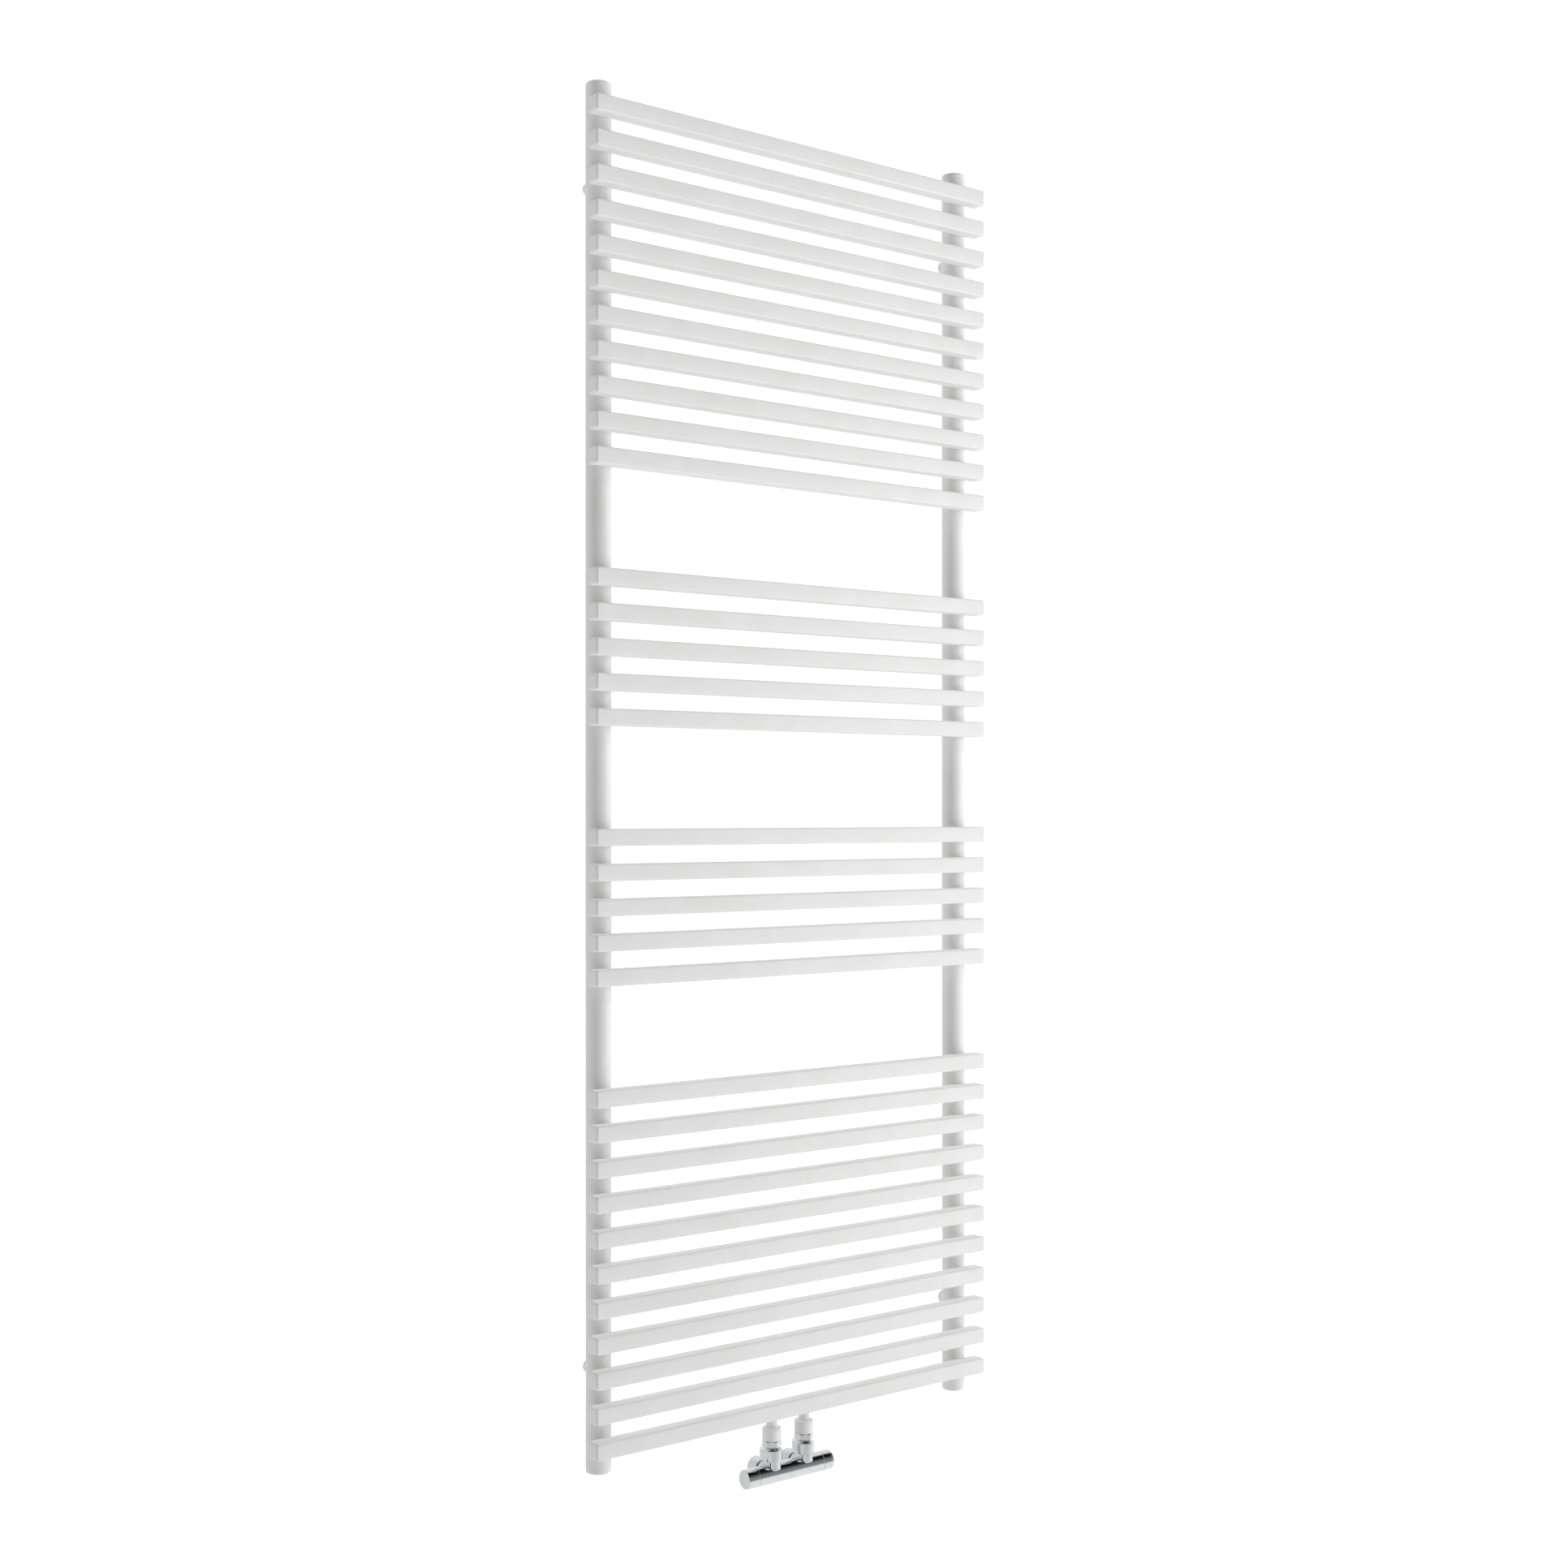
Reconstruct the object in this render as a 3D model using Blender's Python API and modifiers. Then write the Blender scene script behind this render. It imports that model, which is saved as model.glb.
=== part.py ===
"""White towel radiator with a chrome twin valve on a 50 mm centre connection.

Metres, +Z up, front towards -Y. The collector axes lie in the plane Y = 0,
X = 0 is the middle of the width and Z = 0 is the lowest point of the valve.
"""

import math

import bmesh
import bpy
from mathutils import Matrix, Vector

OBJECT_NAME = "towel_radiator"
GAP = 0.0003

# Radiator
RADIATOR_HEIGHT = 1.600
RADIATOR_WIDTH = 0.600
COLLECTOR_SPACING = 0.552
COLLECTOR_RADIUS = 0.015
COLLECTOR_WALL = 0.0016
CAP_THICKNESS = 0.0035
CAP_SPIGOT = 0.0055
CAP_ROUNDING = 0.0030
BAR_GROUPS = (11, 5, 5, 11)
BAR_PITCH = 0.040
BAR_SIZE = 0.0195
BAR_CORNER = 0.0018
BAR_END_ROUNDING = 0.0030
BAR_UPRIGHT_ROUNDING = 0.0021
BAR_WALL = 0.0015
BAR_END_WALL = 0.0028
END_TO_BAR = 0.034
PORT_RADIUS = 0.005
BOSS_RADIUS = 0.008
BOSS_REAR = 0.022
BOSS_FROM_END = 0.118
BOSS_THREAD_RADIUS = 0.0034
VENT_FROM_TOP = 0.017

# Valve, heights above its long axis
VALVE_RADIUS = 0.0120
VALVE_AXIS_Z = VALVE_RADIUS
VALVE_TO_COLLECTOR_END = 0.0516
CONNECTION_SPACING = 0.050
BODY_HALF_LENGTH = 0.050
FLOW_KNOB_END = 0.0670
LOCKSHIELD_KNOB_END = 0.0652
KNOB_EDGE = 0.0014
BLOCK_RADIUS = 0.0123
BLOCK_FRONT = -0.0016
BLOCK_REAR = 0.0045
BLOCK_TOP = 0.0307
STEP_HEIGHT = 0.0170
TONGUE_RADIUS = 0.00825
TONGUE_Y = -0.0042
TONGUE_BOTTOM = 0.0060
TONGUE_ROUNDING = 0.0050
SHOULDER_RADIUS = 0.0120
NECK_RADIUS = 0.0094
NUT_BOTTOM = 0.0335
NUT_TOP = 0.0413
NUT_FLATS = 0.0215
NUT_TURNS = {"left": math.radians(-97.65), "right": math.radians(-85.0)}
SOCKET_BOTTOM = 0.0416
SOCKET_TOP = 0.0572
SOCKET_RADIUS = 0.0118
FEED_RADIUS = 0.0070
FEED_WALL = 0.0012
FEED_HEIGHT = 0.0766
FEED_BEND = 0.0150
BRANCH_RADIUS = 0.0108
BRANCH_HEIGHT = 0.0010
REAR_NUT_FRONT = 0.0171
REAR_NUT_END = 0.0345
REAR_NUT_RADIUS = 0.0125
PIPE_BORE = 0.0078
WATERWAY_RADIUS = 0.0055
CHAMBER_RADIUS = 0.0090
CHAMBER_END = 0.0130

COLLECTOR_BOTTOM = VALVE_AXIS_Z + VALVE_TO_COLLECTOR_END
COLLECTOR_TOP = COLLECTOR_BOTTOM + RADIATOR_HEIGHT
BAR_Y = -(COLLECTOR_RADIUS + GAP + BAR_SIZE / 2)
HALF_SPACING = COLLECTOR_SPACING / 2
HALF_CONNECTION = CONNECTION_SPACING / 2

for old in list(bpy.data.objects):
    bpy.data.objects.remove(old, do_unlink=True)

scene = bpy.context.scene
parts = bpy.data.collections.new(OBJECT_NAME)
cutters = bpy.data.collections.new("cutters")
scene.collection.children.link(parts)
scene.collection.children.link(cutters)


def material(name, colour, roughness, metallic):
    made = bpy.data.materials.new(name)
    made.use_nodes = True
    shader = made.node_tree.nodes["Principled BSDF"]
    shader.inputs["Base Color"].default_value = (*colour, 1.0)
    shader.inputs["Roughness"].default_value = roughness
    shader.inputs["Metallic"].default_value = metallic
    made.diffuse_color = (*colour, 1.0)
    return made


ENAMEL = material("white_enamel", (0.86, 0.86, 0.86), 0.30, 0.0)
CHROME = material("chrome", (0.80, 0.81, 0.82), 0.06, 1.0)
BRASS = material("brass", (0.78, 0.57, 0.25), 0.28, 1.0)
STEEL = material("stainless_steel", (0.60, 0.60, 0.60), 0.25, 1.0)


def link(made, paint):
    """A piece with a paint is a part, and one without is a cutter or a helper."""
    if paint is None:
        cutters.objects.link(made)
        made.hide_render = True
        made.display_type = "WIRE"
    else:
        parts.objects.link(made)
        if not made.data.materials:
            made.data.materials.append(paint)
    return made


def shade(mesh, angle=30.0):
    mesh.shade_smooth()
    mesh.set_sharp_from_angle(angle=math.radians(angle))


def finish(body, name, paint=None):
    """Turns a bmesh into an object."""
    bmesh.ops.recalc_face_normals(body, faces=body.faces)
    mesh = bpy.data.meshes.new(name)
    body.to_mesh(mesh)
    body.free()
    shade(mesh)
    return link(bpy.data.objects.new(name, mesh), paint)


def made_mesh(source, name, paint=None):
    """Replaces a curve, or an object with modifiers, by the welded mesh that it makes."""
    bpy.context.view_layer.update()
    graph = bpy.context.evaluated_depsgraph_get()
    mesh = bpy.data.meshes.new_from_object(source.evaluated_get(graph))
    place = source.matrix_world.copy()
    bpy.data.objects.remove(source, do_unlink=True)
    body = bmesh.new()
    body.from_mesh(mesh)
    bpy.data.meshes.remove(mesh)
    bmesh.ops.remove_doubles(body, verts=body.verts, dist=0.00001)
    made = finish(body, name, paint)
    made.matrix_world = place
    return made


def boolean(target, tool, operation):
    modifier = target.modifiers.new(operation.lower() + "_" + tool.name, "BOOLEAN")
    modifier.operation = operation
    modifier.solver = "EXACT"
    modifier.object = tool


def axis_matrix(axis, origin):
    """Maps local +Z onto a world axis and local 0 onto origin."""
    turn = Vector((0.0, 0.0, 1.0)).rotation_difference(Vector(axis))
    return Matrix.Translation(Vector(origin)) @ turn.to_matrix().to_4x4()


def turned(name, profile, sides, axis, origin, paint=None):
    """Turns (radius, height) points about an axis; an outline that leaves the axis is closed as a ring."""
    mesh = bpy.data.meshes.new(name + "_profile")
    points = [(radius, 0.0, height) for radius, height in profile]
    edges = [(index, index + 1) for index in range(len(points) - 1)]
    if profile[0][0] > 0.0:
        edges.append((len(points) - 1, 0))
    mesh.from_pydata(points, edges, [])
    source = link(bpy.data.objects.new(name + "_profile", mesh), None)
    source.matrix_world = axis_matrix(axis, origin)
    screw = source.modifiers.new("turn", "SCREW")
    screw.axis = "Z"
    screw.angle = 2.0 * math.pi
    screw.steps = sides
    screw.render_steps = sides
    screw.use_merge_vertices = True
    screw.merge_threshold = 0.00001
    return made_mesh(source, name, paint)


def add_cylinder(body, radius, start, end, sides, axis, origin, end_radius=None):
    middle = Matrix.Translation((0.0, 0.0, (start + end) / 2))
    bmesh.ops.create_cone(body, cap_ends=True, segments=sides, radius1=radius,
                          radius2=radius if end_radius is None else end_radius,
                          depth=end - start, matrix=axis_matrix(axis, origin) @ middle)


def add_box(body, size, origin):
    scale = Matrix.Diagonal((*size, 1.0))
    return bmesh.ops.create_cube(body, size=1.0, matrix=Matrix.Translation(origin) @ scale)["verts"]


def cylinder(name, radius, start, end, sides, axis, origin, end_radius=None):
    body = bmesh.new()
    add_cylinder(body, radius, start, end, sides, axis, origin, end_radius)
    return finish(body, name)


def slab(name, outline, bottom, top, origin):
    """An upright piece with a flat (x, y) outline, from a filled and extruded curve."""
    curve = bpy.data.curves.new(name + "_outline", "CURVE")
    curve.dimensions = "2D"
    curve.fill_mode = "BOTH"
    curve.extrude = (top - bottom) / 2
    spline = curve.splines.new("POLY")
    spline.points.add(len(outline) - 1)
    for point, (x, y) in zip(spline.points, outline):
        point.co = (x, y, 0.0, 1.0)
    spline.use_cyclic_u = True
    source = link(bpy.data.objects.new(name + "_outline", curve), None)
    source.location = Vector(origin) + Vector((0.0, 0.0, (bottom + top) / 2))
    return made_mesh(source, name)


def rod(name, path, radius, paint=None):
    """A round rod along a path, from a bevelled curve."""
    curve = bpy.data.curves.new(name + "_path", "CURVE")
    curve.dimensions = "3D"
    curve.bevel_depth = radius
    curve.bevel_resolution = 3
    curve.use_fill_caps = True
    spline = curve.splines.new("POLY")
    spline.points.add(len(path) - 1)
    for point, place in zip(spline.points, path):
        point.co = (*place, 1.0)
    source = link(bpy.data.objects.new(name + "_path", curve), None)
    return made_mesh(source, name, paint)


def stadium(radius, front, rear, steps):
    """A round-ended outline, longer front to back."""
    points = []
    for centre, start in ((rear, 0.0), (front, 180.0)):
        for step in range(steps + 1):
            angle = math.radians(start + 180.0 * step / steps)
            points.append((radius * math.cos(angle), centre + radius * math.sin(angle)))
    return points


def bar_heights():
    """Heights of the bar centres from the top bar down, in groups with three equal wider gaps."""
    pitches = sum(BAR_GROUPS) - len(BAR_GROUPS)
    span = RADIATOR_HEIGHT - 2.0 * END_TO_BAR
    group_step = (span - pitches * BAR_PITCH) / (len(BAR_GROUPS) - 1)
    heights = []
    height = COLLECTOR_TOP - END_TO_BAR
    for count in BAR_GROUPS:
        for _ in range(count):
            heights.append(height)
            height -= BAR_PITCH
        height += BAR_PITCH - group_step
    return heights


def make_bars():
    """Square tubes along X with closed ends and a port behind each end for its collector."""
    body = bmesh.new()
    add_box(body, (RADIATOR_WIDTH, BAR_SIZE, BAR_SIZE), (0, 0, 0))
    weight = body.edges.layers.float.new("bevel_weight_edge")
    for edge in body.edges:
        start, end = (vertex.co for vertex in edge.verts)
        if abs(end.x - start.x) > GAP:
            rounding = BAR_CORNER
        elif abs(end.z - start.z) > GAP:
            rounding = BAR_UPRIGHT_ROUNDING
        else:
            rounding = BAR_END_ROUNDING
        edge[weight] = rounding / BAR_END_ROUNDING
    blank = finish(body, "bar_blank")
    bevel = blank.modifiers.new("round_edges", "BEVEL")
    bevel.limit_method = "WEIGHT"
    bevel.width = BAR_END_ROUNDING
    bevel.segments = 3
    body = bmesh.new()
    inside = BAR_SIZE - 2.0 * BAR_WALL
    add_box(body, (RADIATOR_WIDTH - 2.0 * BAR_END_WALL, inside, inside), (0, 0, 0))
    boolean(blank, finish(body, "bar_hollow"), "DIFFERENCE")
    body = bmesh.new()
    start = BAR_SIZE / 2 - 2.0 * BAR_WALL
    end = BAR_SIZE / 2 + BAR_WALL
    for side in (-1, 1):
        add_cylinder(body, PORT_RADIUS, start, end, 6, (0, 1, 0), (side * HALF_SPACING, 0, 0))
    boolean(blank, finish(body, "bar_ports"), "DIFFERENCE")
    first = made_mesh(blank, "bar_01", ENAMEL)
    first.data.name = "bar"
    for index, height in enumerate(bar_heights()):
        if index == 0:
            bar = first
        else:
            bar = link(bpy.data.objects.new(f"bar_{index + 1:02d}", first.data), ENAMEL)
        bar.location = (0.0, BAR_Y, height)


def make_collector(side, name):
    """A round collector with a port for every bar, one for its feed tube and, on the right, the vent."""
    centre = (side * HALF_SPACING, 0.0, 0.0)
    bottom = COLLECTOR_BOTTOM + CAP_THICKNESS + GAP
    top = COLLECTOR_TOP - CAP_THICKNESS - GAP
    bore = COLLECTOR_RADIUS - COLLECTOR_WALL
    profile = [(bore, bottom), (COLLECTOR_RADIUS, bottom), (COLLECTOR_RADIUS, top), (bore, top)]
    collector = turned("collector_" + name, profile, 32, (0, 0, 1), centre, ENAMEL)
    body = bmesh.new()
    reach = COLLECTOR_RADIUS + 0.002
    for height in bar_heights():
        add_cylinder(body, PORT_RADIUS, 0.008, reach, 6, (0, -1, 0), (centre[0], 0.0, height))
    feed_z = VALVE_AXIS_Z + FEED_HEIGHT
    feed_bore = FEED_RADIUS - FEED_WALL
    add_cylinder(body, feed_bore, 0.0105, reach, 12, (-side, 0, 0), (centre[0], 0.0, feed_z))
    if side > 0:
        vent_z = COLLECTOR_TOP - VENT_FROM_TOP
        add_cylinder(body, 0.0040, 0.010, reach, 12, (0, 1, 0), (centre[0], 0.0, vent_z))
    boolean(collector, finish(body, "ports_" + name), "DIFFERENCE")
    for end, height, inward in (("top", COLLECTOR_TOP, -1.0), ("bottom", COLLECTOR_BOTTOM, 1.0)):
        spigot = bore - GAP
        rim = [(0.0, 0.0)]
        for step in range(5):
            angle = math.radians(90.0 * step / 4.0)
            rim.append((COLLECTOR_RADIUS - CAP_ROUNDING * (1.0 - math.sin(angle)),
                        CAP_ROUNDING * (1.0 - math.cos(angle))))
        profile = rim + [
            (COLLECTOR_RADIUS, CAP_THICKNESS),
            (spigot, CAP_THICKNESS),
            (spigot, CAP_SPIGOT),
            (0.0, CAP_SPIGOT),
        ]
        turned(f"collector_cap_{end}_{name}", profile, 32, (0, 0, inward), (centre[0], 0.0, height), ENAMEL)


def make_boss(side, name, height):
    """A threaded stub behind a collector that takes a wall bracket."""
    edge = 0.0006
    depth = 0.0175
    profile = [
        (0.0, 0.010),
        (BOSS_RADIUS, 0.010),
        (BOSS_RADIUS, BOSS_REAR - edge),
        (BOSS_RADIUS - edge, BOSS_REAR),
        (BOSS_THREAD_RADIUS, BOSS_REAR),
        (BOSS_THREAD_RADIUS, depth),
        (0.0, depth),
    ]
    centre = (side * HALF_SPACING, 0.0, height)
    boss = turned("bracket_boss_" + name, profile, 24, (0, 1, 0), centre, ENAMEL)
    saddle = cylinder("saddle_" + name, COLLECTOR_RADIUS + GAP, -0.02, 0.02, 32, (0, 0, 1), centre)
    boolean(boss, saddle, "DIFFERENCE")


def make_vent():
    """A bleed vent behind the right collector, near its top."""
    centre = (HALF_SPACING, 0.0, COLLECTOR_TOP - VENT_FROM_TOP)
    profile = [
        (0.0018, 0.0138),
        (0.0037, 0.0138),
        (0.0037, COLLECTOR_RADIUS + 0.0004),
        (0.0055, COLLECTOR_RADIUS + 0.0004),
        (0.0055, 0.0190),
        (0.0050, 0.0195),
        (0.0026, 0.0195),
        (0.0026, 0.0165),
        (0.0018, 0.0165),
    ]
    turned("air_vent_body", profile, 24, (0, 1, 0), centre, CHROME)
    profile = [(0.0, 0.0168), (0.0023, 0.0168), (0.0023, 0.0188), (0.0020, 0.0191), (0.0, 0.0191)]
    screw = turned("air_vent_screw", profile, 16, (0, 1, 0), centre, STEEL)
    body = bmesh.new()
    add_box(body, (0.008, 0.004, 0.0008), (centre[0], 0.020, centre[2]))
    boolean(screw, finish(body, "vent_slot"), "DIFFERENCE")


def feed_path(side, start_x, end_z):
    """Along behind the lowest bar, then down through a quarter bend."""
    height = VALVE_AXIS_Z + FEED_HEIGHT
    centre = Vector((side * (HALF_CONNECTION + FEED_BEND), 0.0, height - FEED_BEND))
    path = [Vector((side * start_x, 0.0, height))]
    for step in range(7):
        angle = math.radians(90.0 * step / 6.0)
        path.append(centre + FEED_BEND * Vector((-side * math.sin(angle), 0.0, math.cos(angle))))
    path.append(Vector((side * HALF_CONNECTION, 0.0, end_z)))
    return path


def make_feed(side, name):
    """The tube that runs behind the lowest bar from a collector to the connection below it."""
    start = HALF_SPACING - 0.010
    end = VALVE_AXIS_Z + SOCKET_TOP - 0.0030
    feed = rod("feed_tube_" + name, feed_path(side, start, end), FEED_RADIUS, ENAMEL)
    bore = rod("feed_bore_" + name, feed_path(side, start + 0.002, end - 0.002), FEED_RADIUS - FEED_WALL)
    boolean(feed, bore, "DIFFERENCE")
    centre = (side * HALF_SPACING, 0.0, VALVE_AXIS_Z + FEED_HEIGHT)
    saddle = cylinder("feed_saddle_" + name, COLLECTOR_RADIUS + GAP, -0.02, 0.02, 32, (0, 0, 1), centre)
    boolean(feed, saddle, "DIFFERENCE")


def make_socket(name, origin):
    """The painted socket welded to the end of a feed tube."""
    edge = 0.0008
    profile = [
        (0.0082, SOCKET_BOTTOM),
        (SOCKET_RADIUS - 0.0003, SOCKET_BOTTOM),
        (SOCKET_RADIUS, SOCKET_BOTTOM + 0.0003),
        (SOCKET_RADIUS, SOCKET_TOP - edge),
        (SOCKET_RADIUS - edge, SOCKET_TOP),
        (FEED_RADIUS + GAP, SOCKET_TOP),
        (FEED_RADIUS + GAP, SOCKET_TOP - 0.0033),
        (0.0060, SOCKET_TOP - 0.0033),
        (0.0060, SOCKET_TOP - 0.0050),
        (0.0082, SOCKET_TOP - 0.0050),
    ]
    turned("connection_socket_" + name, profile, 32, (0, 0, 1), origin, ENAMEL)


def make_union(name, origin):
    """The brass tail screwed into the socket, and the hexagon nut that holds the valve to it."""
    profile = [
        (WATERWAY_RADIUS, 0.0275),
        (0.0072, 0.0275),
        (0.0072, NUT_BOTTOM + 0.0010),
        (0.0084, NUT_BOTTOM + 0.0010),
        (0.0084, NUT_BOTTOM + 0.0030),
        (0.0072, NUT_BOTTOM + 0.0030),
        (0.0072, SOCKET_BOTTOM + 0.0004),
        (0.0079, SOCKET_BOTTOM + 0.0004),
        (0.0079, SOCKET_TOP - 0.0055),
        (WATERWAY_RADIUS, SOCKET_TOP - 0.0055),
    ]
    turned("union_tail_" + name, profile, 24, (0, 0, 1), origin, BRASS)
    corner = NUT_FLATS / math.sqrt(3.0)
    body = bmesh.new()
    add_cylinder(body, corner, NUT_BOTTOM, NUT_TOP, 6, (0, 0, 1), (0, 0, 0))
    body.transform(Matrix.Rotation(NUT_TURNS[name], 4, "Z"))
    nut = finish(body, "union_nut_" + name, CHROME)
    nut.location = origin
    bevel = 0.0012
    flats = NUT_FLATS / 2
    profile = [
        (0.0088, NUT_BOTTOM - 0.0005),
        (flats - 0.0004, NUT_BOTTOM - 0.0005),
        (flats + 0.0002, NUT_BOTTOM),
        (corner + 0.0002, NUT_BOTTOM + bevel),
        (corner + 0.0002, NUT_TOP - bevel),
        (flats + 0.0002, NUT_TOP),
        (flats - 0.0004, NUT_TOP + 0.0005),
        (0.0076, NUT_TOP + 0.0005),
        (0.0076, NUT_BOTTOM + 0.0034),
        (0.0088, NUT_BOTTOM + 0.0034),
    ]
    boolean(nut, turned("nut_chamfer_" + name, profile, 24, (0, 0, 1), origin), "INTERSECT")


def make_pipe_nut(name, rear):
    """The round compression nut that takes a supply pipe from the wall."""
    edge = 0.0008
    profile = [
        (PIPE_BORE - 0.0010, REAR_NUT_FRONT),
        (REAR_NUT_RADIUS - edge, REAR_NUT_FRONT),
        (REAR_NUT_RADIUS, REAR_NUT_FRONT + edge),
        (REAR_NUT_RADIUS, REAR_NUT_END - edge),
        (REAR_NUT_RADIUS - edge, REAR_NUT_END),
        (PIPE_BORE, REAR_NUT_END),
        (PIPE_BORE, REAR_NUT_FRONT + 0.0020),
        (PIPE_BORE - 0.0010, REAR_NUT_FRONT + 0.0020),
    ]
    turned("pipe_nut_" + name, profile, 32, (0, 1, 0), rear, CHROME)


def rounded_tongue(name, outline, origin):
    """The front tongue below a block, with its two lower corners rounded as seen from the front."""
    tongue = slab("tongue_slab_" + name, outline, TONGUE_BOTTOM, STEP_HEIGHT + 0.0005, origin)
    reach = TONGUE_RADIUS + 0.0002
    high = STEP_HEIGHT + 0.001
    front = []
    for side in (-1, 1):
        arc = []
        for step in range(6):
            angle = math.radians(90.0 * step / 5.0)
            arc.append((side * (TONGUE_RADIUS - TONGUE_ROUNDING * (1.0 - math.sin(angle))),
                        TONGUE_BOTTOM - 0.0001 + TONGUE_ROUNDING * (1.0 - math.cos(angle))))
        front += reversed(arc) if side < 0 else arc
    front = [(-reach, high), (-reach, front[0][1])] + front + [(reach, front[-1][1]), (reach, high)]
    body = bmesh.new()
    near = [body.verts.new((x, -0.020, z)) for x, z in front]
    sheet = body.faces.new(near)
    grown = bmesh.ops.extrude_face_region(body, geom=[sheet])["geom"]
    far = [item for item in grown if isinstance(item, bmesh.types.BMVert)]
    bmesh.ops.translate(body, verts=far, vec=(0.0, 0.034, 0.0))
    stencil = finish(body, "tongue_front_" + name)
    stencil.location = origin
    boolean(tongue, stencil, "INTERSECT")
    return tongue


def make_valve_body():
    """One body: a long barrel, two upright blocks with a tongue in front, and two rear branches."""
    axis = (0.0, 0.0, VALVE_AXIS_Z)
    end = BODY_HALF_LENGTH - GAP / 2
    edge = 0.0005
    profile = [
        (0.0, -end),
        (VALVE_RADIUS - edge, -end),
        (VALVE_RADIUS, -end + edge),
        (VALVE_RADIUS, end - edge),
        (VALVE_RADIUS - edge, end),
        (0.0, end),
    ]
    barrel = turned("valve_body", profile, 40, (1, 0, 0), axis, CHROME)
    bores = []
    for side, name in ((-1, "left"), (1, "right")):
        origin = (side * HALF_CONNECTION, 0.0, VALVE_AXIS_Z)
        rear = (origin[0], 0.0, VALVE_AXIS_Z + BRANCH_HEIGHT)
        block = stadium(BLOCK_RADIUS, BLOCK_FRONT, BLOCK_REAR, 12)
        tongue = stadium(TONGUE_RADIUS, TONGUE_Y, BLOCK_REAR, 12)
        neck_top = NUT_BOTTOM - GAP
        branch_end = REAR_NUT_FRONT - GAP
        for tool in (
            slab("block_" + name, block, STEP_HEIGHT, BLOCK_TOP, origin),
            rounded_tongue(name, tongue, origin),
            cylinder("branch_" + name, BRANCH_RADIUS, 0.0, branch_end, 32, (0, 1, 0), rear),
            cylinder("shoulder_" + name, SHOULDER_RADIUS, BLOCK_TOP - 0.0005, neck_top, 32, (0, 0, 1), origin,
                     NECK_RADIUS),
        ):
            boolean(barrel, tool, "UNION")
        above = [(0.0, 0.0), (WATERWAY_RADIUS, 0.0), (WATERWAY_RADIUS, 0.0272), (0.0076, 0.0272),
                 (0.0076, NUT_BOTTOM + 0.001), (0.0, NUT_BOTTOM + 0.001)]
        behind = [(0.0, 0.0), (WATERWAY_RADIUS, 0.0), (WATERWAY_RADIUS, 0.0110), (PIPE_BORE, 0.0110),
                  (PIPE_BORE, REAR_NUT_FRONT + 0.001), (0.0, REAR_NUT_FRONT + 0.001)]
        chamber = [(0.0, CHAMBER_END), (CHAMBER_RADIUS, CHAMBER_END), (CHAMBER_RADIUS, 0.052), (0.0, 0.052)]
        bores.append(turned("bore_above_" + name, above, 20, (0, 0, 1), origin))
        bores.append(turned("bore_behind_" + name, behind, 20, (0, 1, 0), rear))
        bores.append(turned("chamber_" + name, chamber, 32, (side, 0, 0), axis))
    for bore in bores:
        boolean(barrel, bore, "DIFFERENCE")


def make_knob(side, name, knob_end):
    """A plain round knob whose hollow leaves room for the spindle behind it."""
    near = BODY_HALF_LENGTH + GAP / 2
    profile = [
        (0.0, knob_end - 0.0050),
        (0.0095, knob_end - 0.0050),
        (0.0095, near),
        (VALVE_RADIUS - 0.0005, near),
        (VALVE_RADIUS, near + 0.0005),
        (VALVE_RADIUS, knob_end - KNOB_EDGE),
        (VALVE_RADIUS - 0.29 * KNOB_EDGE, knob_end - 0.29 * KNOB_EDGE),
        (VALVE_RADIUS - KNOB_EDGE, knob_end),
        (0.0, knob_end),
    ]
    turned(name, profile, 40, (side, 0, 0), (0.0, 0.0, VALVE_AXIS_Z), CHROME)


def make_inserts():
    """The parts inside the barrel: flow insert and pin on the left, lockshield spindle on the right."""
    axis = (0.0, 0.0, VALVE_AXIS_Z)
    profile = [
        (0.0026, 0.0380),
        (0.0085, 0.0380),
        (0.0085, 0.0500),
        (0.0070, 0.0500),
        (0.0070, 0.0540),
        (0.0026, 0.0540),
    ]
    turned("flow_insert", profile, 24, (-1, 0, 0), axis, BRASS)
    profile = [
        (0.0, 0.0340),
        (0.0050, 0.0340),
        (0.0050, 0.0350),
        (0.0022, 0.0350),
        (0.0022, 0.0570),
        (0.0, 0.0570),
    ]
    turned("flow_pin", profile, 16, (-1, 0, 0), axis, STEEL)
    profile = [
        (0.0, 0.0360),
        (0.0050, 0.0360),
        (0.0085, 0.0385),
        (0.0085, 0.0510),
        (0.0045, 0.0510),
        (0.0045, 0.0560),
        (0.0, 0.0560),
    ]
    turned("lockshield_spindle", profile, 24, (1, 0, 0), axis, BRASS)


make_bars()
for side, name in ((-1, "left"), (1, "right")):
    make_collector(side, name)
    make_boss(side, "top_" + name, COLLECTOR_TOP - BOSS_FROM_END)
    make_boss(side, "bottom_" + name, COLLECTOR_BOTTOM + BOSS_FROM_END)
    make_feed(side, name)
    connection = (side * HALF_CONNECTION, 0.0, VALVE_AXIS_Z)
    make_socket(name, connection)
    make_union(name, connection)
    make_pipe_nut(name, (connection[0], 0.0, VALVE_AXIS_Z + BRANCH_HEIGHT))
make_vent()
make_valve_body()
make_knob(-1, "flow_knob", FLOW_KNOB_END)
make_knob(1, "lockshield_knob", LOCKSHIELD_KNOB_END)
make_inserts()
bpy.context.view_layer.update()
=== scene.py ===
"""Looks of the white towel radiator and its chrome twin valve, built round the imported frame."""
import math

import bmesh
import bpy
import numpy as np
from mathutils import Matrix, Vector


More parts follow.
